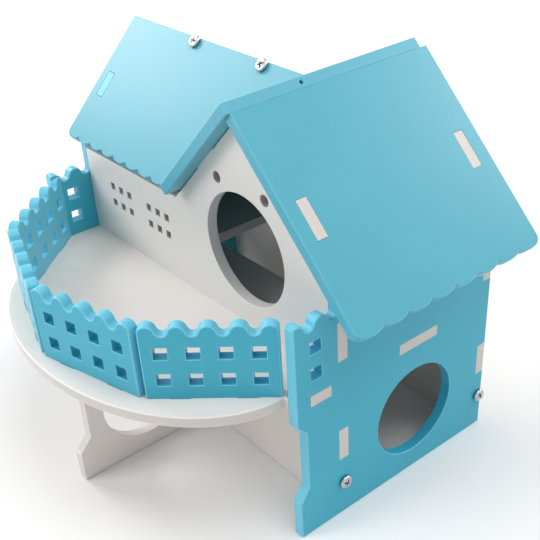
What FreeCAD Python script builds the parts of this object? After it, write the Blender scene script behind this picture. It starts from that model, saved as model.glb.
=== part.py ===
import FreeCAD, Part
import math
import os

# A two-storey house of slotted boards for a small pet. All sizes are in millimetres.
# While the house is drawn, x = 0 is midway between the side panels, y = 0 is the front wall's
# face, z = 0 is the ground, and the deck and its fence lie in front, towards -y. The finished
# boards are then moved so that the origin is under the middle of the whole house.

Vector = FreeCAD.Vector
EAST = Vector(1, 0, 0)
REAR = Vector(0, 1, 0)
UP = Vector(0, 0, 1)
SLANT = math.sqrt(0.5)            # sine and cosine of the 45 degree roofs

# Boards and fits
board = 5.0                       # thickness of every board
play = 0.15                       # gap on each side of a tenon in its slot
roof_gap = 0.3                    # gap between a roof board and the walls or roof beside it
beyond = 1.0                      # how far a cutter runs past the faces that it cuts

# The house
room_width = 175.2                # between the side panels
house_depth = 89.6                # front wall's face to back wall's face
storey_height = 66.3              # ground to the deck's underside
eave_gap = 2.2                    # daylight between the long walls and the main roof

# Tenons that hold the walls in the side panels
lower_tenon_bottom = 30.4
lower_tenon_height = 15.4
upper_tenon_bottom = 80.3
upper_tenon_height = 18.2

# Side panels
porch_depth = 21.6                # how far foot and fence part stand in front of the wall
leg_recess = 4.6                  # how far the leg is set back between them
foot_height = 19.0
foot_taper = 6.5                  # height of the slope from foot to leg
leg_top = 54.5                    # height of the step under the fence part
side_fence_lift = 1.0             # the fence part is cut this much higher than the fence
side_window_setback = 11.0        # fence windows' centres in front of the wall
side_hole_setback = 44.4
side_hole_height = 32.5
side_hole_radius = 22.3

# Deck
deck_setback = 2.1                # the deck's curved part is this much narrower on each side
deck_reach = 59.7                 # curved front, measured from the side panels' front
deck_front_tenon = (-14.3, -3.6)  # y from and to
deck_middle_tenon = (34.1, 56.2)
stair_inset = 51.6                # left side panel to the opening in the deck
stair_front = 34.0
stair_width = 56.0
stair_depth = 38.0

# Upper front wall
door_offset = 2.75                # door's middle, left of the gable's ridge
door_above_deck = 35.8
door_radius = 25.0
peep_spread = 15.1                # small holes each side of the door's middle
peep_above_deck = 63.5
peep_radius = 2.5
pane_width = 3.4                  # small windows, two groups of three by two
pane_height = 3.6
pane_pitch_x = 7.27
pane_pitch_z = 8.54
pane_above_deck = 20.65           # lower row's centres
pane_group_insets = (21.5, 52.85) # left side panel to the middles of each group's first column

# Middle leg under the deck
leg_x = -5.66                     # its left face
middle_leg_front = 65.2           # front edge, in front of the wall
middle_foot_front = 71.5
middle_foot_height = 15.5
middle_foot_taper = 6.5
middle_hole_setback = 34.8
middle_hole_height = 30.5
middle_hole_radius = 22.0

# Fence
fence_slack = 4.86                # its four panels together span the room's width less this
fence_height = 33.4               # deck to the tops of its waves
wave_pitch = 11.5
wave_depth = 4.4
crest_radius = 3.7
window_size = 5.5
window_columns = 4
window_end_inset = 7.83           # panel's end to the first window's middle
window_pitch_up = 12.1
window_above_deck = 8.95          # lower row's centres
fence_corner_left = 4.8           # inner corner of the two front panels, left of the middle
fence_corner_inset = 10.0         # the same corner, behind the deck's foremost point
right_front_degrees = 14.9        # degrees between each panel and the house's width
right_side_degrees = 48.1
left_front_degrees = 17.6
left_side_degrees = 50.3
fence_tenon_inset = 13.2          # tenon's middle from either end
fence_tenon_length = 8.0

# Main roof, over the long part of the house
main_ridge_y = 43.2
main_ridge_height = 166.75
main_reach = 67.1                 # ridge to the tips of the eave, down the slope
main_overhang = 5.4               # past the left side panel
main_lobe_pitch = 10.5
main_lobe_depth = 1.7
main_tenon_length = 12.7
main_tenon_from_ridge = 36.5      # ridge to the tenon's middle, down the slope

# Gable roof, over the door
gable_ridge_inset = 47.35         # right side panel to the ridge
gable_ridge_height = 172.55
gable_right_reach = 100.1         # ridge to the tips of the eave, down the slope
gable_left_reach = 70.0
gable_right_front = 6.3           # overhangs in front of and behind the house
gable_right_rear = 7.4
gable_left_front = 8.0
gable_left_rear = 3.9
gable_lobes = 6                   # whole ones in the eave, between the two at its corners
gable_front_lobe = 1.09           # length of the one at the front corner, in whole lobes
gable_rear_lobe = 1.01
gable_lobe_depth = 1.75
gable_tenon_length = 16.8
gable_right_tenon = 52.2          # ridge to the tenon's middle, down the slope
gable_left_tenon = 40.5
eave_corner_radius = 4.0
ridge_pin_y = 29.7                # small blind hole in the ridge's edge
ridge_pin_radius = 0.8
ridge_pin_depth = 3.0

# Screws
head_radius = 3.1
head_height = 2.1
head_top_radius = 2.3             # the head narrows to this at its flat top
shank_radius = 1.2
shank_length = 14.0
shank_play = 0.1
side_screw_height = 17.2
main_screw_inset = 43.0           # left side panel to the ridge's first screw
main_screw_to_gable = 30.95       # ridge's second screw to where the gable roof meets the ridge

# Worked out from the sizes above
half_room = room_width / 2
half_house = half_room + board
deck_top = storey_height + board
deck_half_width = half_room - deck_setback
deck_front = -porch_depth - deck_reach
gable_ridge_x = half_room - gable_ridge_inset
door_x = gable_ridge_x - door_offset
pane_group_starts = [inset - half_room for inset in pane_group_insets]
stair_left = stair_inset - half_room
main_ridge_end = gable_ridge_x - gable_ridge_height + main_ridge_height
main_screw_xs = (main_screw_inset - half_room, main_ridge_end - main_screw_to_gable)
roof_drop = board / SLANT         # height between a roof board's outer and inner planes
main_inner_ridge = main_ridge_height - roof_drop
gable_inner_ridge = gable_ridge_height - roof_drop
gable_right_length = gable_right_front + house_depth + gable_right_rear
gable_lobe_pitch = gable_right_length / (gable_front_lobe + gable_lobes + gable_rear_lobe)
fence_windows_up = (window_above_deck, window_above_deck + window_pitch_up)
fence_turns = {                   # turned back from the corner, seen from above
    "left_side": math.radians(-left_side_degrees),
    "left_front": math.radians(-left_front_degrees),
    "right_front": math.radians(right_front_degrees),
    "right_side": math.radians(right_side_degrees),
}
fence_length = (room_width - fence_slack) / sum(math.cos(turn) for turn in fence_turns.values())
window_pitch_along = (fence_length - 2 * window_end_inset) / (window_columns - 1)


class Sheet:
    """A flat board. Points on it are (across, up) from its corner, and its thickness runs
    along through, away from the face that it is drawn on."""

    def __init__(self, corner, across, up, through):
        self.corner = corner
        self.across = across
        self.up = up
        self.through = through

    def at(self, point, depth=0.0):
        return self.corner + self.across * point[0] + self.up * point[1] + self.through * depth

    def solid(self, start, steps, front=0.0, thickness=None):
        """The outline from start through steps, made into a solid. A step is a point, or a
        pair of points: an arc's middle and its end."""
        thickness = board if thickness is None else thickness
        here = start
        edges = []
        for step in steps:
            if isinstance(step[0], tuple):
                arc = Part.Arc(self.at(here, front), self.at(step[0], front), self.at(step[1], front))
                edges.append(arc.toShape())
                here = step[1]
            else:
                edges.append(Part.makeLine(self.at(here, front), self.at(step, front)))
                here = step
        edges.append(Part.makeLine(self.at(here, front), self.at(start, front)))
        return Part.Face(Part.Wire(edges)).extrude(self.through * thickness)

    def cutter(self, start, steps):
        """The same, running past both faces of the board."""
        return self.solid(start, steps, -beyond, board + 2 * beyond)

    def block(self, left, right, bottom, top):
        return self.solid((left, bottom), [(right, bottom), (right, top), (left, top)])

    def slot(self, left, right, bottom, top, gap=0.0):
        low = (left - gap, bottom - gap)
        high = (right + gap, top + gap)
        return self.cutter(low, [(high[0], low[1]), high, (low[0], high[1])])

    def window(self, middle, width, height):
        left = middle[0] - width / 2
        bottom = middle[1] - height / 2
        return self.slot(left, left + width, bottom, bottom + height)

    def hole(self, middle, radius):
        base = self.at(middle, -beyond)
        return Part.makeCylinder(radius, board + 2 * beyond, base, self.through)


def joined(body, pieces):
    return body.fuse(pieces).removeSplitter()


def half_space(point, normal):
    """A block that fills everything near the house on the far side of a plane."""
    size = 4 * room_width
    block = Part.makeBox(size, size, size, Vector(-size / 2, -size / 2, 0))
    block.Placement = FreeCAD.Placement(point, FreeCAD.Rotation(UP, normal))
    return block


# The planes that the boards lie in
side_sheets = {
    "right": Sheet(Vector(half_room, 0, 0), REAR, UP, EAST),
    "left": Sheet(Vector(-half_room, 0, 0), REAR, UP, -EAST),
}
front_sheet = Sheet(Vector(0, 0, 0), EAST, UP, REAR)
back_sheet = Sheet(Vector(0, house_depth - board, 0), EAST, UP, REAR)
deck_sheet = Sheet(Vector(0, 0, storey_height), EAST, REAR, UP)
leg_sheet = Sheet(Vector(leg_x, 0, 0), REAR, UP, EAST)

# Roof boards: across runs along the ridge, up runs down the slope from the ridge's outer corner
main_ridge = Vector(0, main_ridge_y, main_ridge_height)
gable_ridge = Vector(gable_ridge_x, 0, gable_ridge_height)
main_front_sheet = Sheet(main_ridge, EAST, Vector(0, -SLANT, -SLANT), Vector(0, SLANT, -SLANT))
main_back_sheet = Sheet(main_ridge, EAST, Vector(0, SLANT, -SLANT), Vector(0, -SLANT, -SLANT))
gable_right_sheet = Sheet(gable_ridge, REAR, Vector(SLANT, 0, -SLANT), Vector(-SLANT, 0, -SLANT))
gable_left_sheet = Sheet(gable_ridge, REAR, Vector(-SLANT, 0, -SLANT), Vector(SLANT, 0, -SLANT))


# Waves and lobes

def wave_radii():
    """Crest and valley arcs run into each other smoothly when their radii add up to this."""
    both = (wave_pitch ** 2 / 4 + wave_depth ** 2) / (2 * wave_depth)
    return both, both - crest_radius


def crest_join(middle, top, side):
    """The point where a crest's arc meets the valley on one side of it."""
    both, _ = wave_radii()
    reach = crest_radius / both
    return (middle + side * reach * wave_pitch / 2,
            top - crest_radius + reach * (both - wave_depth))


def wave(first, count, top):
    """Start and steps of a row of waves, from the first crest's left side to the last's right."""
    start = crest_join(first, top, -1)
    steps = []
    for number in range(count):
        middle = first + number * wave_pitch
        steps.append(((middle, top), crest_join(middle, top, 1)))
        valley = (middle + wave_pitch / 2, top - wave_depth)
        steps.append((valley, crest_join(middle + wave_pitch, top, -1)))
    return start, steps[:-1]


def on_circle(middle, radius, angle):
    return (middle[0] + radius * math.cos(angle), middle[1] + radius * math.sin(angle))


def eave_corner(edge, inward, first_lobe, pitch, depth, tip):
    """Points from a roof's edge to its eave's first notch: an arc round the corner that runs
    smoothly into the first lobe's arc. Every second point is in the middle of an arc."""
    corner = eave_corner_radius
    lobe = (pitch ** 2 / 4 + depth ** 2) / (2 * depth)
    crest = (first_lobe - 0.5) * pitch
    rise = math.sqrt((lobe - corner) ** 2 - (crest - corner) ** 2)
    corner_middle = (corner, tip - lobe + rise)
    lobe_middle = (crest, tip - lobe)
    join = math.atan2(rise, corner - crest)
    notch = math.atan2(lobe - depth, pitch / 2)
    points = [(0.0, corner_middle[1]),
              on_circle(corner_middle, corner, (math.pi + join) / 2),
              on_circle(corner_middle, corner, join),
              on_circle(lobe_middle, lobe, (join + notch) / 2),
              on_circle(lobe_middle, lobe, notch)]
    return [(edge + inward * across, up) for across, up in points]


def lobes(first, count, pitch, depth, tip):
    """Steps along an eave's whole lobes, from one notch to another."""
    notches = [first + number * pitch for number in range(count)]
    return [((notch + pitch / 2, tip), (notch + pitch, tip - depth)) for notch in notches]


def eave_cutter(sheet, left_corner, whole, right_corner, sky):
    """What is cut from an eave between two corners. The right one may be left out, where the
    roof is cut off before the lobes end."""
    edge, first_middle, first_join, lobe_middle, notch = left_corner
    steps = [(first_middle, first_join), (lobe_middle, notch)] + whole
    if right_corner:
        right, last_middle, last_join, right_lobe_middle, _ = right_corner
        steps += [(right_lobe_middle, last_join), (last_middle, right), (right[0] + beyond, right[1])]
        end = right[0] + beyond
    else:
        end = whole[-1][1][0]
    outside = edge[0] - beyond
    return sheet.cutter(edge, steps + [(end, sky), (outside, sky), (outside, edge[1])])


# Tenons: each is (left, right, bottom, top) on the board that it belongs to

def side_tenons(bottom, height):
    return [(-half_house, -half_room, bottom, bottom + height),
            (half_room, half_house, bottom, bottom + height)]


def wall_slots(sheet, bottom, height):
    """The slots for the front and back walls' tenons in a side panel. The back one is open."""
    front = sheet.slot(0, board, bottom, bottom + height, play)
    back_face = house_depth - board
    back = sheet.slot(back_face, house_depth + beyond, bottom, bottom + height, play)
    return [front, back]


def slope_tenon(roof, middle, length, inner):
    """The corners of a tenon that stands square to a roof board: flush with its outer plane,
    and from there this deep."""
    low = middle - length / 2
    high = middle + length / 2
    return [roof.at((0, low)), roof.at((0, high)), roof.at((0, high), inner), roof.at((0, low), inner)]


def gable_tenon(wall, roof, middle, length):
    """A tenon on a wall's gable edge, standing square to the slope and flush with the roof."""
    corners = slope_tenon(roof, middle, length, board + roof_gap + beyond)
    points = [(corner.x, corner.z) for corner in corners]
    return wall.solid(points[0], points[1:])


def gable_slots(roof, middle, length):
    low = middle - length / 2
    high = middle + length / 2
    back_face = house_depth - board
    return [roof.slot(0, board, low, high, play), roof.slot(back_face, house_depth, low, high, play)]


# Walls

def gable_outline(bottom, main_top):
    """The outline shared by the upper front wall and the back wall, up to the gable's peak."""
    inner_left = gable_inner_ridge - gable_ridge_x - roof_gap / SLANT
    inner_right = gable_inner_ridge + gable_ridge_x - roof_gap / SLANT
    peak = ((inner_right - inner_left) / 2, (inner_right + inner_left) / 2)
    return (-half_room, bottom), [(half_room, bottom), (half_room, inner_right - half_room), peak,
                                  (main_top - inner_left, main_top), (-half_room, main_top)]


def gable_wall(sheet, bottom, main_top, tenon_levels):
    start, steps = gable_outline(bottom, main_top)
    wall = sheet.solid(start, steps)
    pieces = [gable_tenon(sheet, gable_right_sheet, gable_right_tenon, gable_tenon_length),
              gable_tenon(sheet, gable_left_sheet, gable_left_tenon, gable_tenon_length)]
    for level, height in tenon_levels:
        pieces += [sheet.block(*tenon) for tenon in side_tenons(level, height)]
    return joined(wall, pieces)


def front_wall_upper():
    main_top = main_inner_ridge - main_ridge_y - eave_gap
    wall = gable_wall(front_sheet, deck_top, main_top, [(upper_tenon_bottom, upper_tenon_height)])
    cuts = [front_sheet.hole((door_x, deck_top + door_above_deck), door_radius)]
    for side in (-1, 1):
        middle = (door_x + side * peep_spread, deck_top + peep_above_deck)
        cuts.append(front_sheet.hole(middle, peep_radius))
    for start in pane_group_starts:
        for column in range(3):
            for row in range(2):
                middle = (start + column * pane_pitch_x,
                          deck_top + pane_above_deck + row * pane_pitch_z)
                cuts.append(front_sheet.window(middle, pane_width, pane_height))
    return wall.cut(cuts)


def front_wall_lower():
    wall = front_sheet.block(-half_room, half_room, 0, storey_height)
    tenons = [front_sheet.block(*tenon) for tenon in side_tenons(lower_tenon_bottom, lower_tenon_height)]
    leg_slot = front_sheet.slot(leg_x, leg_x + board, lower_tenon_bottom,
                                lower_tenon_bottom + lower_tenon_height, play)
    wall = joined(wall, tenons).cut(leg_slot)
    return drilled(wall, front_sheet, 0)


def back_wall():
    main_top = main_inner_ridge + main_ridge_y - house_depth - eave_gap
    levels = [(lower_tenon_bottom, lower_tenon_height), (upper_tenon_bottom, upper_tenon_height)]
    return drilled(gable_wall(back_sheet, 0, main_top, levels), back_sheet, house_depth - board)


def drilled(wall, sheet, face_y):
    """The side screws' holes in a wall's two ends."""
    depth = shank_length - board + beyond
    holes = []
    for side in (-1, 1):
        mouth = Vector(side * (half_room + beyond), face_y + board / 2, side_screw_height)
        holes.append(Part.makeCylinder(shank_radius + shank_play, depth + beyond, mouth, EAST * -side))
    return wall.cut(holes)


# Side panels

def side_outline(top_steps):
    leg_front = -porch_depth + leg_recess
    start = (-porch_depth, 0)
    steps = [(house_depth, 0)] + top_steps
    steps += [(-porch_depth, leg_top + leg_recess), (leg_front, leg_top),
              (leg_front, foot_height + foot_taper), (-porch_depth, foot_height)]
    return start, steps


def side_fence_cutter(sheet, sky):
    """What is cut away above the fence part: waves whose last valley turns up into the wall's
    front edge."""
    _, valley_radius = wave_radii()
    top = deck_top + fence_height + side_fence_lift
    last_crest = -valley_radius - wave_pitch / 2
    count = math.ceil(porch_depth / wave_pitch) + 1
    start, steps = wave(last_crest - (count - 1) * wave_pitch, count, top)
    bottom = top - wave_depth
    steps.append(((-valley_radius, bottom), (0.0, bottom + valley_radius)))
    steps += [(0.0, sky), (start[0], sky)]
    return sheet.cutter(start, steps)


def side_panel(side, top_steps, extra, sky):
    sheet = side_sheets[side]
    start, steps = side_outline(top_steps)
    panel = joined(sheet.solid(start, steps), extra) if extra else sheet.solid(start, steps)
    cuts = [side_fence_cutter(sheet, sky)]
    cuts += wall_slots(sheet, lower_tenon_bottom, lower_tenon_height)
    cuts += wall_slots(sheet, upper_tenon_bottom, upper_tenon_height)
    for near, far in (deck_front_tenon, deck_middle_tenon):
        cuts.append(sheet.slot(near, far, storey_height, deck_top, play))
    cuts.append(sheet.hole((side_hole_setback, side_hole_height), side_hole_radius))
    for height in fence_windows_up:
        middle = (-side_window_setback, deck_top + height + side_fence_lift)
        cuts.append(sheet.window(middle, window_size, window_size))
    for setback in (board / 2, house_depth - board / 2):
        cuts.append(sheet.hole((setback, side_screw_height), shank_radius + shank_play))
    return panel.cut(cuts)


def side_panel_right():
    top = gable_inner_ridge + gable_ridge_x - half_house - roof_gap
    return side_panel("right", [(house_depth, top), (-porch_depth, top)], [], top + beyond)


def side_panel_left():
    """Its top carries the main roof, and two tenons come up through the slopes."""
    sheet = side_sheets["left"]
    rise = main_inner_ridge
    front_top = rise - main_ridge_y
    back_top = rise + main_ridge_y - house_depth
    steps = [(house_depth, back_top), (main_ridge_y, rise), (0.0, front_top), (-porch_depth, front_top)]
    tenons = [main_tenon(sheet, main_front_sheet), main_tenon(sheet, main_back_sheet)]
    return side_panel("left", steps, tenons, front_top + beyond)


def main_tenon(sheet, roof):
    corners = slope_tenon(roof, main_tenon_from_ridge, main_tenon_length, board + beyond)
    points = [(corner.y, corner.z) for corner in corners]
    return sheet.solid(points[0], points[1:])


# Deck and what stands under and on it

def curved_front():
    """The deck's rounded front, half an ellipse. Its longer half axis has to be named first."""
    middle = Vector(0, -porch_depth, storey_height)
    if deck_half_width > deck_reach:
        tips = (middle + EAST * deck_half_width, middle - REAR * deck_reach)
    else:
        tips = (middle - REAR * deck_reach, middle - EAST * deck_half_width)
    ellipse = Part.Ellipse(tips[0], tips[1], middle)
    disc = Part.Face(Part.Wire(ellipse.toShape())).extrude(UP * board)
    return disc.cut(half_space(middle, REAR))


def deck_floor():
    back = house_depth - board
    deck = joined(deck_sheet.block(-half_room, half_room, -porch_depth, back), [curved_front()])
    tenons = []
    for near, far in (deck_front_tenon, deck_middle_tenon):
        tenons.append(deck_sheet.block(-half_house, -half_room, near, far))
        tenons.append(deck_sheet.block(half_room, half_house, near, far))
    cuts = [deck_sheet.slot(stair_left, stair_left + stair_width, stair_front, stair_front + stair_depth)]
    cuts += [fence_tenon(sheet, start, play) for sheet in fence_sheets().values()
             for start in fence_tenon_starts()]
    return joined(deck, tenons).cut(cuts)


def middle_leg():
    """Board that carries the deck's front, tenoned into the lower front wall."""
    start = (-middle_foot_front, 0)
    steps = [(0, 0), (0, storey_height), (-middle_leg_front, storey_height),
             (-middle_leg_front, middle_foot_height + middle_foot_taper),
             (-middle_foot_front, middle_foot_height)]
    leg = leg_sheet.solid(start, steps)
    tenon = leg_sheet.block(0, board, lower_tenon_bottom, lower_tenon_bottom + lower_tenon_height)
    hole = leg_sheet.hole((-middle_hole_setback, middle_hole_height), middle_hole_radius)
    return joined(leg, [tenon]).cut(hole)


def fence_sheets():
    """Four panels that meet at their inner corners, numbered by place. Each is drawn on its
    inner face, from its left end, and its thickness runs outwards."""
    middle = Vector(-fence_corner_left, deck_front + fence_corner_inset, deck_top)
    along = {name: Vector(math.cos(turn), math.sin(turn), 0) for name, turn in fence_turns.items()}
    starts = {"right_front": middle}
    starts["right_side"] = middle + along["right_front"] * fence_length
    starts["left_front"] = middle - along["left_front"] * fence_length
    starts["left_side"] = starts["left_front"] - along["left_side"] * fence_length
    return {name: Sheet(starts[name], along[name], UP, along[name].cross(UP)) for name in fence_turns}


def fence_tenon_starts():
    half = fence_tenon_length / 2
    return (fence_tenon_inset - half, fence_length - fence_tenon_inset - half)


def fence_tenon(sheet, start, gap=0.0):
    """A tenon under a fence panel that goes through the deck, or with a gap its slot."""
    top = beyond if gap else 0.0
    bottom = -board - (beyond if gap else 0.0)
    low = (start - gap, bottom)
    high = (start + fence_tenon_length + gap, top)
    steps = [(high[0], low[1]), high, (low[0], high[1])]
    return sheet.solid(low, steps, -gap, board + 2 * gap)


def fence_panel(sheet):
    panel = sheet.block(0, fence_length, 0, fence_height)
    tenons = [fence_tenon(sheet, start) for start in fence_tenon_starts()]
    count = int(fence_length / wave_pitch) + 3
    start, steps = wave(fence_length / 2 - (count // 2) * wave_pitch, 2 * (count // 2) + 1, fence_height)
    sky = fence_height + beyond
    cuts = [sheet.cutter(start, steps + [(steps[-1][1][0], sky), (start[0], sky)])]
    first = fence_length / 2 - (window_columns - 1) * window_pitch_along / 2
    for column in range(window_columns):
        for height in fence_windows_up:
            middle = (first + column * window_pitch_along, height)
            cuts.append(sheet.window(middle, window_size, window_size))
    for outward in (-EAST, EAST):
        cuts.append(half_space(outward * half_room, outward))
    return joined(panel, tenons).cut(cuts)


# Roofs

def main_eave(sheet, left):
    shape = (main_lobe_pitch, main_lobe_depth, main_reach)
    corner = eave_corner(left, 1, 1, *shape)
    count = math.ceil((gable_ridge_x - corner[-1][0]) / main_lobe_pitch)
    return eave_cutter(sheet, corner, lobes(corner[-1][0], count, *shape), None, main_reach + beyond)


def gable_eave(sheet, front, rear):
    shape = (gable_lobe_pitch, gable_lobe_depth, gable_right_reach)
    corners = (eave_corner(front, 1, gable_front_lobe, *shape),
               eave_corner(rear, -1, gable_rear_lobe, *shape))
    whole = lobes(corners[0][-1][0], gable_lobes, *shape)
    return eave_cutter(sheet, corners[0], whole, corners[1], gable_right_reach + beyond)


def main_slope(sheet):
    """A slope of the main roof, cut off along the gable roof that it runs into."""
    left = -half_house - main_overhang
    top = 0.0 if sheet is main_front_sheet else board
    slope = sheet.block(left, gable_ridge_x, top, main_reach)
    low = main_tenon_from_ridge - main_tenon_length / 2
    high = main_tenon_from_ridge + main_tenon_length / 2
    cuts = [main_eave(sheet, left),
            sheet.slot(-half_house, -half_room, low, high, play),
            half_space(gable_ridge - gable_left_sheet.through * roof_gap, gable_left_sheet.through)]
    return slope.cut(cuts)


def roof_main_front():
    slope = main_slope(main_front_sheet)
    holes = [main_front_sheet.hole((x, board / 2), shank_radius + shank_play) for x in main_screw_xs]
    return slope.cut(holes)


def roof_main_back():
    slope = main_slope(main_back_sheet)
    return slope.cut([screw_hole(main_front_sheet, x) for x in main_screw_xs])


def screw_hole(sheet, across):
    """The hole that a ridge screw needs in both boards of the main roof."""
    base = sheet.at((across, board / 2), -beyond)
    return Part.makeCylinder(shank_radius + shank_play, shank_length + 2 * beyond, base, sheet.through)


def roof_gable_right():
    sheet = gable_right_sheet
    front = -gable_right_front
    rear = house_depth + gable_right_rear
    slope = sheet.block(front, rear, board, gable_right_reach)
    cuts = [gable_eave(sheet, front, rear)]
    cuts += gable_slots(sheet, gable_right_tenon, gable_tenon_length)
    return slope.cut(cuts)


def roof_gable_left():
    sheet = gable_left_sheet
    slope = sheet.block(-gable_left_front, house_depth + gable_left_rear, 0, gable_left_reach)
    cuts = gable_slots(sheet, gable_left_tenon, gable_tenon_length)
    mouth = sheet.at((ridge_pin_y, -beyond), board / 2)
    cuts.append(Part.makeCylinder(ridge_pin_radius, ridge_pin_depth + beyond, mouth, sheet.up))
    return slope.cut(cuts)


# Screws

def screw(seat, into):
    """A pan-head screw. Its head sits on seat, and it points along into."""
    head = Part.makeCone(head_top_radius, head_radius, head_height, Vector(0, 0, -head_height))
    part = joined(head, [Part.makeCylinder(shank_radius, shank_length)])
    part.Placement = FreeCAD.Placement(seat, FreeCAD.Rotation(UP, into))
    return part


def screws():
    made = {}
    for side, sheet in side_sheets.items():
        for place, setback in (("front", board / 2), ("rear", house_depth - board / 2)):
            seat = sheet.at((setback, side_screw_height), board)
            made[f"screw_{side}_{place}"] = screw(seat, -sheet.through)
    for number, x in enumerate(main_screw_xs, 1):
        seat = main_front_sheet.at((x, board / 2))
        made[f"screw_main_ridge_{number}"] = screw(seat, main_front_sheet.through)
    return made


def house():
    nodes = {
        "side_panel_right": side_panel_right(),
        "side_panel_left": side_panel_left(),
        "front_wall_upper": front_wall_upper(),
        "front_wall_lower": front_wall_lower(),
        "back_wall": back_wall(),
        "deck_floor": deck_floor(),
        "middle_leg_panel": middle_leg(),
        "roof_main_front_slope": roof_main_front(),
        "roof_main_back_slope": roof_main_back(),
        "roof_gable_right_slope": roof_gable_right(),
        "roof_gable_left_slope": roof_gable_left(),
    }
    for name, sheet in fence_sheets().items():
        nodes[f"fence_panel_{name}"] = fence_panel(sheet)
    nodes.update(screws())
    return nodes


def ground_centre():
    """The point on the ground under the middle of the whole house."""
    left = -half_house - main_overhang
    right = gable_ridge_x + gable_right_reach * SLANT
    rear = house_depth + gable_right_rear
    return Vector((left + right) / 2, (deck_front + rear) / 2, 0)


os.makedirs("parts", exist_ok=True)
to_origin = -ground_centre()
for node, shape in house().items():
    shape.translate(to_origin)
    shape.exportStep(f"parts/{node}.step")
    print(node, len(shape.Solids), round(shape.Volume), shape.isValid())
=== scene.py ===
import itertools
import math

import bmesh
import bpy
import numpy as np
from mathutils import Euler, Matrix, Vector
from mathutils.bvhtree import BVHTree


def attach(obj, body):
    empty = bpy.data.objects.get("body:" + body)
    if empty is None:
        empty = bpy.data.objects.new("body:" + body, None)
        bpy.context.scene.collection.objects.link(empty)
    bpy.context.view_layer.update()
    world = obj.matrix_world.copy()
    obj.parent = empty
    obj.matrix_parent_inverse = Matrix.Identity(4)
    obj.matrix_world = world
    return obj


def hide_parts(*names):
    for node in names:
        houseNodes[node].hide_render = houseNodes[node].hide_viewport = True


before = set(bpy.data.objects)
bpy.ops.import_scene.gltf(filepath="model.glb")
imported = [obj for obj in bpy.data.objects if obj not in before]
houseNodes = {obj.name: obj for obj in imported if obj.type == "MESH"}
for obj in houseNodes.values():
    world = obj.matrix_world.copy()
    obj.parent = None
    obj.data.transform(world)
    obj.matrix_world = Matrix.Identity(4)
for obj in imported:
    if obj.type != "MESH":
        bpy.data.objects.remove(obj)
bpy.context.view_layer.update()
print("frame loaded,", len(houseNodes), "boards and screws")


def newMaterial(name):
    # a node tree that holds only an output, ready for shaders
    material = bpy.data.materials.new(name)
    material.use_nodes = True
    tree = material.node_tree
    tree.nodes.clear()
    output = tree.nodes.new("ShaderNodeOutputMaterial")
    return material, tree, output


def addNode(tree, kind, **settings):
    node = tree.nodes.new(kind)
    for key, value in settings.items():
        setattr(node, key, value)
    return node


def addConstant(tree, value):
    node = addNode(tree, "ShaderNodeValue")
    node.outputs[0].default_value = value
    return node.outputs[0]


def objectPlace(tree):
    return addNode(tree, "ShaderNodeTexCoord").outputs["Object"]


def noiseOf(tree, coordinates, scale, detail=3.0, roughness=0.5):
    # scale is in features per metre
    noise = addNode(tree, "ShaderNodeTexNoise", noise_dimensions="3D")
    noise.inputs["Scale"].default_value = scale
    noise.inputs["Detail"].default_value = detail
    noise.inputs["Roughness"].default_value = roughness
    tree.links.new(coordinates, noise.inputs["Vector"])
    return noise.outputs["Fac"]


def remap(tree, value, low, high, toLow, toHigh):
    node = addNode(tree, "ShaderNodeMapRange")
    node.inputs["From Min"].default_value = low
    node.inputs["From Max"].default_value = high
    node.inputs["To Min"].default_value = toLow
    node.inputs["To Max"].default_value = toHigh
    tree.links.new(value, node.inputs["Value"])
    return node.outputs["Result"]


def blendColours(tree, factor, first, second):
    # first and second are sockets or plain colours, and 6, 7 and 2 are the node's colour sockets
    mix = addNode(tree, "ShaderNodeMix", data_type="RGBA")
    for place, colour in ((6, first), (7, second)):
        if isinstance(colour, (tuple, list)):
            mix.inputs[place].default_value = (*colour, 1.0)
        else:
            tree.links.new(colour, mix.inputs[place])
    tree.links.new(factor, mix.inputs[0])
    return mix.outputs[2]


def calculate(tree, operation, first, second):
    # first and second are sockets or plain numbers
    node = addNode(tree, "ShaderNodeMath", operation=operation)
    for place, value in enumerate((first, second)):
        if isinstance(value, (int, float)):
            node.inputs[place].default_value = value
        else:
            tree.links.new(value, node.inputs[place])
    return node.outputs[0]


def meshPiece(name, points, faces, material):
    mesh = bpy.data.meshes.new(name)
    mesh.from_pydata(points.tolist(), [], faces.tolist())
    mesh.validate()
    mesh.materials.append(material)
    piece = bpy.data.objects.new(name, mesh)
    bpy.context.scene.collection.objects.link(piece)
    return piece


# Matt coated boards. Five surfaces share a board's look and differ in tone: its skin, its outer
# cut sides, its softened edges, and the cut sides inside its holes and inside its small panes.
# The softened edges' tone is lighter than the skin's, a painted highlight along every edge.

boardLook = {
    "mottle": 0.018,               # how far the colour wanders over a board
    "cloudScale": 38.0,            # patches a few centimetres wide
    "cloudRange": (0.2, 0.8),      # stretch of the noise that the patches use
    "speckleScale": 420.0,         # specks about two millimetres wide
    "speckleRange": (0.56, 0.72),
    "speckleAmount": 0.10,
    "speckShade": 0.86,
    "ior": 1.46,
    "skinRoughness": 0.31,
    "sideRoughness": 0.36,
    "roughnessSpread": 0.02,
    "bumpStrength": 0.35,
    "lineRange": (0.35, 0.65),     # stretch of the noise that a cutter's lines use
    "lineTint": 0.10,              # how far a line darkens the colour
    "lineHeight": 0.35,            # a line's share in the bumps, beside the grain
}

# grain in features per metre, its depth in metres, the roughness, and how many of a cutter's
# lines there are through the thickness
boardSurfaces = {
    "skin": (1400, 0.00004, "skinRoughness", 0),
    "side": (2600, 0.00007, "sideRoughness", 9),
    "edge": (1400, 0.00003, "skinRoughness", 0),
    "hole": (2600, 0.00007, "sideRoughness", 9),
    "pane": (2600, 0.00007, "sideRoughness", 9),
}
slotOf = {surface: place for place, surface in enumerate(boardSurfaces)}

# the main roof's tones: the same cyan paint as the gable, with the skin painted a little darker as
# shade to balance the extra lamp light on the main roof; its paleness comes from the lamps
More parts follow.
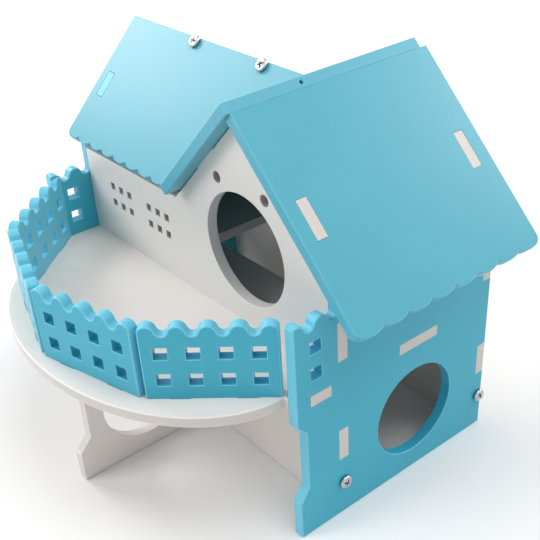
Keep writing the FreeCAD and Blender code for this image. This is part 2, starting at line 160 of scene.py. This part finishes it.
mainRoofCyanTones = {
    "skin": (0.082, 0.372, 0.468),
    "side": (0.100, 0.430, 0.540),
    # lighter than the skin: painted highlight on the softened edges
    "edge": (0.110, 0.440, 0.550),
    "hole": (0.100, 0.430, 0.540),
    "pane": (0.100, 0.430, 0.540),
}
cyanTones = {
    "skin": (0.080, 0.400, 0.512),
    "side": (0.095, 0.415, 0.540),
    # lighter than the skin: painted highlight on the softened edges
    "edge": (0.120, 0.460, 0.580),
    "hole": (0.095, 0.415, 0.540),
    "pane": (0.095, 0.415, 0.540),
}
blueTones = {
    "skin": (0.040, 0.415, 0.560),
    # lighter than the skin: partly the rougher cut face, partly a painted highlight for the light on
    # the fence wave tops
    "side": (0.140, 0.550, 0.720),
    # lighter than the skin: painted highlight on the softened edges
    "edge": (0.160, 0.570, 0.720),
    "hole": (0.040, 0.420, 0.640),
    # darker than the skin: painted shade inside the small panes
    "pane": (0.030, 0.380, 0.580),
}
whiteTones = {
    "skin": (0.800, 0.750, 0.710),
    "side": (0.640, 0.600, 0.565),
    # a little lighter than the skin: painted highlight on the softened edges
    "edge": (0.800, 0.765, 0.730),
    # lighter than the skin: painted highlight on the lit rims inside the round holes
    "hole": (0.860, 0.790, 0.770),
    # darker than the skin: painted shade inside the small panes and peep holes
    "pane": (0.500, 0.460, 0.440),
}


def shade(colour, factor):
    return tuple(min(1.0, channel * factor) for channel in colour)


def cutterLines(tree, count):
    # fine lines run round a board's sides, level with its two faces
    depth = addNode(tree, "ShaderNodeAttribute", attribute_name="throughDepth").outputs["Fac"]
    lines = addNode(tree, "ShaderNodeTexNoise", noise_dimensions="1D")
    lines.inputs["Scale"].default_value = count
    lines.inputs["Detail"].default_value = 2.0
    tree.links.new(depth, lines.inputs["W"])
    return lines.outputs["Fac"]


def boardSurface(name, tone, look, grainScale, grainDepth, roughness, lineCount):
    material, tree, output = newMaterial(name)
    links = tree.links
    coordinates = objectPlace(tree)
    cloud = noiseOf(tree, coordinates, look["cloudScale"], detail=2.0)
    speckle = noiseOf(tree, coordinates, look["speckleScale"], detail=2.0)
    height = noiseOf(tree, coordinates, grainScale, roughness=0.6)

    patches = remap(tree, cloud, *look["cloudRange"], 0.0, 1.0)
    deepTone = shade(tone, 1.0 - look["mottle"])
    paleTone = shade(tone, 1.0 + look["mottle"])
    colour = blendColours(tree, patches, deepTone, paleTone)
    speckTone = shade(tone, look["speckShade"])
    specks = remap(tree, speckle, *look["speckleRange"], 0.0, look["speckleAmount"])
    colour = blendColours(tree, specks, colour, speckTone)
    if lineCount:
        line = remap(tree, cutterLines(tree, lineCount), *look["lineRange"], 0.0, 1.0)
        height = blendColours(tree, addConstant(tree, look["lineHeight"]), height, line)
        tint = calculate(tree, "MULTIPLY", line, look["lineTint"])
        colour = blendColours(tree, tint, colour, speckTone)

    shader = addNode(tree, "ShaderNodeBsdfPrincipled")
    shader.inputs["IOR"].default_value = look["ior"]
    links.new(colour, shader.inputs["Base Color"])
    spread = look["roughnessSpread"]
    wander = remap(tree, cloud, *look["cloudRange"], roughness - spread, roughness + spread)
    links.new(wander, shader.inputs["Roughness"])
    bump = addNode(tree, "ShaderNodeBump")
    bump.inputs["Strength"].default_value = look["bumpStrength"]
    bump.inputs["Distance"].default_value = grainDepth
    links.new(height, bump.inputs["Height"])
    links.new(bump.outputs["Normal"], shader.inputs["Normal"])
    links.new(shader.outputs["BSDF"], output.inputs["Surface"])
    return material


def boardFinish(name, tones, **changes):
    look = dict(boardLook, **changes)
    finish = []
    for surface, (grainScale, grainDepth, roughness, lineCount) in boardSurfaces.items():
        finish.append(boardSurface(name + surface.capitalize(), tones[surface], look,
                                   grainScale, grainDepth, look[roughness], lineCount))
    return finish


finishes = {
    "board_light_cyan": boardFinish("mainRoofCyanBoard", mainRoofCyanTones),
    "board_cyan": boardFinish("cyanBoard", cyanTones),
    "board_blue": boardFinish("blueBoard", blueTones),
    "board_white": boardFinish("whiteBoard", whiteTones, mottle=0.010, speckShade=0.93),
}
print("board finishes made:", ", ".join(finishes))


boardSlots = {
    "side_panel_right": "board_blue",
    "side_panel_left": "board_blue",
    "front_wall_upper": "board_white",
    "front_wall_lower": "board_white",
    "back_wall": "board_white",
    "deck_floor": "board_white",
    "middle_leg_panel": "board_white",
    "roof_main_front_slope": "board_light_cyan",
    "roof_main_back_slope": "board_light_cyan",
    "roof_gable_right_slope": "board_cyan",
    "roof_gable_left_slope": "board_cyan",
    "fence_panel_left_side": "board_blue",
    "fence_panel_left_front": "board_blue",
    "fence_panel_right_front": "board_blue",
    "fence_panel_right_side": "board_blue",
}

boardEdges = {
    "radius": 0.0006,           # metres, how far an open edge is softened
    "fitShare": 0.25,           # of that radius, along edges that touch another board
    "fitReach": 0.00045,        # metres, an edge nearer than this to another board touches it
    "fitLength": 0.0015,        # metres, shorter edges belong to curves, which stay even all along
    "notchShare": 0.2,          # of that radius, where two cut sides meet in an inner corner
    "holeShare": 0.5,           # of that radius, round holes and panes
    "paneWidth": 0.010,         # metres, holes narrower than this are panes
    "segments": 4,
    "foldAngle": 28.0,          # degrees, sharper folds than this count as edges
    "skinCosine": 0.999,        # between a skin face's normal and the board's thickness, at least
    "throughCosine": 0.99,      # between a through-going edge and the thickness, at least
    "straightCosine": 0.87,     # between two edges that run on into each other, at least
    "mergeDistance": 0.000002,  # metres
    "faceWeight": 100,          # above 50, large faces decide how the edges beside them are shaded
}


def normalsAndAreas(mesh):
    count = len(mesh.polygons)
    normals = np.empty(count * 3)
    areas = np.empty(count)
    mesh.polygons.foreach_get("normal", normals)
    mesh.polygons.foreach_get("area", areas)
    return normals.reshape(-1, 3), areas


def throughDirection(mesh):
    # the board's thickness runs along the strongest axis of sum(area * normal * normal^T)
    normals, areas = normalsAndAreas(mesh)
    spread = (normals * areas[:, None]).T @ normals
    _, axes = np.linalg.eigh(spread)
    return axes[:, -1]


def meshPoints(mesh):
    points = np.empty(len(mesh.vertices) * 3)
    mesh.vertices.foreach_get("co", points)
    return points.reshape(-1, 3)


def searchTree(mesh):
    corners = [vertex.co for vertex in mesh.vertices]
    return BVHTree.FromPolygons(corners, [list(face.vertices) for face in mesh.polygons])


boardTrees = {node: searchTree(houseNodes[node].data) for node in boardSlots}


def touchesAnother(point, node):
    reach = boardEdges["fitReach"]
    return any(tree.find_nearest(point, reach)[0] is not None
               for other, tree in boardTrees.items() if other != node)


def edgeShare(edge, node, through):
    # how much of the full softening an edge gets
    if len(edge.link_faces) != 2:
        return 0.0
    if edge.calc_face_angle() < math.radians(boardEdges["foldAngle"]):
        return 0.0
    start, end = (vertex.co for vertex in edge.verts)
    if edge.calc_length() > boardEdges["fitLength"] and touchesAnother((start + end) / 2, node):
        return boardEdges["fitShare"]
    runsThrough = abs((end - start).normalized().dot(through)) > boardEdges["throughCosine"]
    if runsThrough and edge.calc_face_angle_signed() < 0:
        return boardEdges["notchShare"]
    return 1.0


def ringWidth(ring):
    # the longest side of the box around a ring of faces
    corners = np.array([vertex.co for face in ring for vertex in face.verts])
    return np.ptp(corners, axis=0).max()


def sideRings(work, through):
    # cut sides join up into rings, found by walking from each face to its neighbours
    waiting = {face for face in work.faces if abs(face.normal.dot(through)) < boardEdges["skinCosine"]}
    rings = []
    while waiting:
        ring = [waiting.pop()]
        for face in ring:
            near = {other for edge in face.edges for other in edge.link_faces} & waiting
            waiting -= near
            ring += near
        rings.append(ring)
    return sorted(rings, key=ringWidth)


def markSurfaces(work, through):
    # the widest ring of cut sides is the board's outline, and each of the others lines a hole
    *inner, outline = sideRings(work, through)
    for face in work.faces:
        face.material_index = slotOf["skin"]
    for face in outline:
        face.material_index = slotOf["side"]
    for ring in inner:
        surface = "pane" if ringWidth(ring) < boardEdges["paneWidth"] else "hole"
        for face in ring:
            face.material_index = slotOf[surface]


def runsOn(vertex, first, second):
    ways = [(edge.other_vert(vertex).co - vertex.co).normalized() for edge in (first, second)]
    return ways[0].dot(ways[1]) < -boardEdges["straightCosine"]


def evenOut(work, share):
    # edges that run on smoothly into each other all get the fullest softening among them
    pairs = []
    for vertex in work.verts:
        soft = [edge for edge in vertex.link_edges if edge[share] > 0]
        pairs += [pair for pair in itertools.combinations(soft, 2) if runsOn(vertex, *pair)]
    changed = True
    while changed:
        changed = False
        for first, second in pairs:
            if first[share] != second[share]:
                first[share] = second[share] = max(first[share], second[share])
                changed = True


def weighEdges(work, node, through):
    share = work.edges.layers.float.new("bevel_weight_edge")
    holeSlots = {slotOf["hole"], slotOf["pane"]}
    for edge in work.edges:
        edge[share] = edgeShare(edge, node, through)
        if any(face.material_index in holeSlots for face in edge.link_faces):
            edge[share] = min(edge[share], boardEdges["holeShare"])
    evenOut(work, share)


def tidyCopy(node, name):
    # a copy of a board's mesh with its corners joined and all that its finish needs marked on it
    mesh = houseNodes[node].data.copy()
    mesh.name = name
    mesh.materials.clear()
    through = throughDirection(mesh)
    work = bmesh.new()
    work.from_mesh(mesh)
    bmesh.ops.remove_doubles(work, verts=work.verts, dist=boardEdges["mergeDistance"])
    markSurfaces(work, Vector(through))
    weighEdges(work, node, Vector(through))
    work.to_mesh(mesh)
    work.free()
    # throughDepth = how far a point lies along the thickness, 0 on one skin and 1 on the other
    along = meshPoints(mesh) @ throughDirection(mesh)
    depth = (along - along.min()) / (along.max() - along.min())
    attribute = mesh.attributes.new("throughDepth", "FLOAT", "POINT")
    attribute.data.foreach_set("value", depth.astype(np.float32))
    return mesh


def softenEdges(board):
    bevel = board.modifiers.new("softEdges", "BEVEL")
    bevel.width = boardEdges["radius"]
    bevel.segments = boardEdges["segments"]
    bevel.limit_method = "WEIGHT"
    bevel.use_clamp_overlap = False
    bevel.loop_slide = False
    # the softened edges take the edge tone, a painted highlight
    bevel.material = slotOf["edge"]
    bevel.face_strength_mode = "FSTR_AFFECTED"
    bevel.miter_outer = "MITER_SHARP"
    weigh = board.modifiers.new("flatFaces", "WEIGHTED_NORMAL")
    weigh.weight = boardEdges["faceWeight"]
    weigh.keep_sharp = True
    weigh.use_face_influence = True


def dressBoard(node, slotName):
    name = "board_" + node
    mesh = tidyCopy(node, name)
    mesh.polygons.foreach_set("use_smooth", np.ones(len(mesh.polygons), bool))
    for material in finishes[slotName]:
        mesh.materials.append(material)
    board = bpy.data.objects.new(name, mesh)
    bpy.context.scene.collection.objects.link(board)
    softenEdges(board)
    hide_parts(node)
    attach(board, "root")
    return board


boards = [dressBoard(node, slotName) for node, slotName in boardSlots.items()]
print("boards dressed:", len(boards))


# Pan heads with a cross recess and a threaded shank, each built along its own axis and then
# laid on the place of its CAD screw. Sizes are in metres.

screwMaker = {
    "headRadius": 0.0031,
    "headHeight": 0.0021,
    "rimRadius": 0.00095,       # rounding of the head's rim
    "crown": 0.00022,           # how much the head's top is domed
    "recessReach": 0.0019,
    "recessWidth": 0.00095,
    "recessDepth": 0.00135,
    "recessWall": 0.00016,      # how far a groove's walls lean
    "recessRunOut": 0.55,       # power that shapes how a groove runs out, lower is steeper
    "shankRadius": 0.0012,
    "shankLength": 0.0140,
    "threadDepth": 0.00032,
    "threadPitch": 0.0011,
    "threadWidth": 0.30,        # half a crest's foot, as a share of the pitch
    "tipLength": 0.0026,
    "turns": (12, 55, 80, 33, 64, 21),   # degrees, how far each screw was driven round
}

screwGrid = {
    "headRings": 70,
    "headSpokes": 128,
    "domeEnds": 0.62,           # share of the head's rings that the dome takes
    "rimEnds": 0.90,            # and the share where the rim ends and the flat underside begins
    "shankRings": 150,
    "shankSpokes": 40,
    "mergeDistance": 0.000001,
}


def roundAngles(spokes):
    return np.linspace(0, 2 * math.pi, spokes, endpoint=False)


def gridFaces(rows, columns):
    # quads of a grid whose columns run round and join up
    row, column = np.meshgrid(np.arange(rows - 1), np.arange(columns), indexing="ij")
    nextColumn = (column + 1) % columns
    corners = [row * columns + column, row * columns + nextColumn,
               (row + 1) * columns + nextColumn, (row + 1) * columns + column]
    return np.stack(corners, axis=-1).reshape(-1, 4)


def recessDepthAt(acrossX, acrossY):
    # two crossed grooves: depth * (1 - distance along / reach)^runOut between leaning walls
    size = screwMaker
    depth = np.zeros_like(acrossX)
    for along, side in ((acrossX, acrossY), (acrossY, acrossX)):
        reach = np.clip(1 - np.abs(along) / size["recessReach"], 0, 1)
        wall = np.clip((size["recessWidth"] / 2 - np.abs(side)) / size["recessWall"], 0, 1)
        smoothWall = wall * wall * (3 - 2 * wall)
        depth = np.maximum(depth, size["recessDepth"] * reach ** size["recessRunOut"] * smoothWall)
    return depth


def headSurface():
    # turned about z, with the seat at z = 0: a dome of height - crown * (radius / flat)^2, then a
    # quarter circle for the rim, then the flat underside back to the middle
    size = screwMaker
    domeEnds, rimEnds = screwGrid["domeEnds"], screwGrid["rimEnds"]
    share = np.linspace(0, 1, screwGrid["headRings"])
    onRim = (share >= domeEnds) & (share <= rimEnds)
    isUnder = share > rimEnds
    flat = size["headRadius"] - size["rimRadius"]
    turn = np.clip((share - domeEnds) / (rimEnds - domeEnds), 0, 1) * math.pi / 2
    under = np.clip((share - rimEnds) / (1 - rimEnds), 0, 1)
    radius = np.where(share < domeEnds, share / domeEnds * flat, 0.0)
    radius = np.where(onRim, flat + size["rimRadius"] * np.sin(turn), radius)
    radius = np.where(isUnder, size["headRadius"] * (1 - under), radius)
    height = size["headHeight"] - size["crown"] * np.minimum(radius / flat, 1) ** 2
    rimHeight = size["headHeight"] - size["crown"] - size["rimRadius"] * (1 - np.cos(turn))
    height = np.where(onRim, rimHeight, height)
    height = np.where(isUnder, 0.0, height)
    angle = roundAngles(screwGrid["headSpokes"])
    acrossX = radius[:, None] * np.cos(angle)
    acrossY = radius[:, None] * np.sin(angle)
    depth = recessDepthAt(acrossX, acrossY) * (share < domeEnds)[:, None]
    points = np.stack([acrossX, acrossY, height[:, None] - depth], axis=-1)
    # the last array is each point's share of the cross's depth, which the metal uses for its painted
    # shade
    return points.reshape(-1, 3), gridFaces(*depth.shape), (depth / size["recessDepth"]).ravel()


def shankSurface():
    # radius = core + threadDepth * crest(z / pitch - turn), narrowing to the point along the tip
    size = screwMaker
    along = np.append(0.0, np.linspace(0, size["shankLength"], screwGrid["shankRings"] - 1))
    angle = roundAngles(screwGrid["shankSpokes"])
    phase = np.mod(along[:, None] / size["threadPitch"] - angle / (2 * math.pi), 1.0)
    crest = np.clip(1 - np.abs(phase - 0.5) / size["threadWidth"], 0, 1)
    taper = np.clip((size["shankLength"] - along) / size["tipLength"], 0, 1)[:, None]
    taper[0] = 0   # the first ring closes the shank's top
    radius = (size["shankRadius"] - size["threadDepth"] * (1 - crest)) * taper
    down = -np.broadcast_to(along[:, None], radius.shape)
    points = np.stack([radius * np.cos(angle), radius * np.sin(angle), down], axis=-1)
    return points.reshape(-1, 3), gridFaces(*radius.shape)


def screwPlace(node):
    # the axis is the longest spread of the CAD screw's corners, each taken once, and its head is
    # the wide end
    corners = np.unique(np.round(meshPoints(houseNodes[node].data), 7), axis=0)
    middle = corners.mean(axis=0)
    _, axes = np.linalg.eigh(np.cov((corners - middle).T))
    axis = axes[:, -1]
    along = (corners - middle) @ axis
    radius = np.linalg.norm(corners - middle - along[:, None] * axis, axis=1)
    if along[radius.argmax()] < 0:
        axis = -axis
        along = -along
    seat = middle + axis * (along.max() - screwMaker["headHeight"])
    return seat, axis


screwLook = {
    "bright": (0.58, 0.58, 0.57),
    "dull": (0.42, 0.42, 0.43),
    "recess": (0.03, 0.03, 0.035),   # painted shade, darkest at the bottom of the cross
    "scuffScale": 1800.0,
    "scuffRange": (0.35, 0.7),       # stretch of the noise that the duller patches use
    "roughness": (0.16, 0.34),
    "roughnessRange": (0.3, 0.7),    # stretch of the noise that the roughness uses
}


def plateMetal():
    material, tree, output = newMaterial("brightScrew")
    look = screwLook
    scuffs = noiseOf(tree, objectPlace(tree), look["scuffScale"], roughness=0.65)
    recess = addNode(tree, "ShaderNodeAttribute", attribute_name="recess").outputs["Fac"]
    worn = remap(tree, scuffs, *look["scuffRange"], 0.0, 1.0)
    tone = blendColours(tree, worn, look["bright"], look["dull"])
    shader = addNode(tree, "ShaderNodeBsdfPrincipled")
    shader.inputs["Metallic"].default_value = 1.0
    # the metal darkens towards the recess tone with the depth of the cross: painted shade in the
    # recess
    tree.links.new(blendColours(tree, recess, tone, look["recess"]), shader.inputs["Base Color"])
    roughness = remap(tree, scuffs, *look["roughnessRange"], *look["roughness"])
    tree.links.new(roughness, shader.inputs["Roughness"])
    tree.links.new(shader.outputs["BSDF"], output.inputs["Surface"])
    return material


def closePoles(mesh):
    # rings without width become single points
    work = bmesh.new()
    work.from_mesh(mesh)
    bmesh.ops.remove_doubles(work, verts=work.verts, dist=screwGrid["mergeDistance"])
    bmesh.ops.recalc_face_normals(work, faces=work.faces)
    work.to_mesh(mesh)
    work.free()


def driveScrew(node, turn, metal):
    seat, axis = screwPlace(node)
    headPoints, headFaces, recess = headSurface()
    shankPoints, shankFaces = shankSurface()
    points = np.vstack([headPoints, shankPoints])
    faces = np.vstack([headFaces, shankFaces[:, ::-1] + len(headPoints)])
    aim = np.array(Vector(axis).to_track_quat("Z", "Y").to_matrix())
    spin = np.array(Euler((0, 0, math.radians(turn))).to_matrix())
    screw = meshPiece("plated_" + node, points @ (aim @ spin).T + seat, faces, metal)
    mesh = screw.data
    # recess = share of the cross's depth, the mask for the painted shade in the cross
    attribute = mesh.attributes.new("recess", "FLOAT", "POINT")
    values = np.concatenate([recess, np.zeros(len(shankPoints))])
    attribute.data.foreach_set("value", values.astype(np.float32))
    closePoles(mesh)
    mesh.polygons.foreach_set("use_smooth", np.ones(len(mesh.polygons), bool))
    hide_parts(node)
    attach(screw, "root")
    return screw


screwMetal = plateMetal()
screwNodes = sorted(node for node in houseNodes if node.startswith("screw_"))
screws = [driveScrew(node, turn, screwMetal) for node, turn in zip(screwNodes, screwMaker["turns"])]
print("screws driven:", len(screws))


studio = {
    "floorRadius": 4.0,
    "floorRings": 6,
    "floorSpokes": 72,
    "floorDrop": 0.0001,       # metres below the feet
    "floorColour": (0.86, 0.86, 0.86),
    "floorRoughness": 0.9,
    "floorLift": 0.10,         # for camera rays, so that the floor reads white
    "liftFrom": 0.12,          # metres from the middle, no lift within and all of it beyond
    "liftTo": 0.40,
    "farLift": 0.60,           # added further out, where the lamps' light runs out
    "farFrom": 0.45,
    "farTo": 1.80,
    "skyStrength": 0.46,       # light that comes from all round
    "aim": (0, 0, 0.08),       # where all lamps point
    "lamps": {                 # place, width across and power in watts
        "leftLamp": ((-1.29, -0.23, 0.91), 0.69, 8.6),
        "rearLamp": ((0.38, 1.31, 0.83), 0.60, 7.5),
        "frontLamp": ((-0.60, -1.25, 1.00), 0.90, 11.0),
        "topLamp": ((0.42, 0.13, 1.25), 0.80, 6.3),
    },
}


def seenDirectly(tree):
    # 1 for camera, mirror and see-through rays, else 0
    path = addNode(tree, "ShaderNodeLightPath")
    seen = path.outputs["Is Camera Ray"]
    for name in ("Is Glossy Ray", "Is Transmission Ray"):
        seen = calculate(tree, "MAXIMUM", seen, path.outputs[name])
    return seen


def floorGlow(tree):
    # how much light the floor shows besides its own, by the distance from its middle
    reach = addNode(tree, "ShaderNodeVectorMath", operation="LENGTH")
    tree.links.new(objectPlace(tree), reach.inputs[0])
    distance = reach.outputs["Value"]
    near = remap(tree, distance, studio["liftFrom"], studio["liftTo"], 0.0, studio["floorLift"])
    far = remap(tree, distance, studio["farFrom"], studio["farTo"], 0.0, studio["farLift"])
    return calculate(tree, "MULTIPLY", seenDirectly(tree), calculate(tree, "ADD", near, far))


def floorFinish():
    material, tree, output = newMaterial("paleFloor")
    shader = addNode(tree, "ShaderNodeBsdfPrincipled")
    shader.inputs["Base Color"].default_value = (*studio["floorColour"], 1.0)
    shader.inputs["Roughness"].default_value = studio["floorRoughness"]
    glow = addNode(tree, "ShaderNodeEmission")
    tree.links.new(floorGlow(tree), glow.inputs["Strength"])
    both = addNode(tree, "ShaderNodeAddShader")
    tree.links.new(shader.outputs["BSDF"], both.inputs[0])
    tree.links.new(glow.outputs["Emission"], both.inputs[1])
    tree.links.new(both.outputs["Shader"], output.inputs["Surface"])
    return material


def layFloor():
    # a disc: radius times (cos, sin) on a grid of rings
    radius = np.linspace(0, studio["floorRadius"], studio["floorRings"])[:, None]
    angle = roundAngles(studio["floorSpokes"])
    across = [radius * np.cos(angle), radius * np.sin(angle)]
    level = np.full(across[0].shape, -studio["floorDrop"])
    points = np.stack([*across, level], axis=-1).reshape(-1, 3)
    floor = meshPiece("studioFloor", points, gridFaces(*level.shape), floorFinish())


def lightRoom():
    world = bpy.data.worlds.new("whiteRoom")
    bpy.context.scene.world = world
    world.use_nodes = True
    tree = world.node_tree
    tree.nodes.clear()
    background = addNode(tree, "ShaderNodeBackground")
    strength = remap(tree, seenDirectly(tree), 0.0, 1.0, studio["skyStrength"], 1.0)
    tree.links.new(strength, background.inputs["Strength"])
    background.inputs["Color"].default_value = (1.0, 1.0, 1.0, 1.0)
    output = addNode(tree, "ShaderNodeOutputWorld")
    tree.links.new(background.outputs["Background"], output.inputs["Surface"])


def hangLamp(name, place, width, power):
    lamp = bpy.data.lights.new(name, "AREA")
    lamp.shape = "DISK"
    lamp.size = width
    lamp.energy = power
    holder = bpy.data.objects.new(name, lamp)
    holder.location = place
    aim = Vector(studio["aim"]) - Vector(place)
    holder.rotation_euler = aim.to_track_quat("-Z", "Y").to_euler()
    bpy.context.scene.collection.objects.link(holder)


layFloor()
lightRoom()
for lampName, (place, width, power) in studio["lamps"].items():
    hangLamp(lampName, place, width, power)
print("studio lit")


cameraView = {
    "place": (0.29815, -0.20048, 0.29399),
    "turn": (56.008, 2.943, 50.315),     # degrees about x, y, z
    "lens": 62.168,
    "sensorWidth": 36.0,
    "shift": (-0.0110, 0.0927),
    "nearest": 0.01,                     # metres, anything nearer isn't drawn
}


def setCamera():
    data = bpy.data.cameras.new("viewCamera")
    data.lens = cameraView["lens"]
    data.sensor_width = cameraView["sensorWidth"]
    data.shift_x, data.shift_y = cameraView["shift"]
    data.clip_start = cameraView["nearest"]
    camera = bpy.data.objects.new("viewCamera", data)
    camera.location = cameraView["place"]
    camera.rotation_euler = [math.radians(angle) for angle in cameraView["turn"]]
    bpy.context.scene.collection.objects.link(camera)
    bpy.context.scene.camera = camera


setCamera()
bpy.context.scene.view_settings.view_transform = "Standard"
print("camera set")
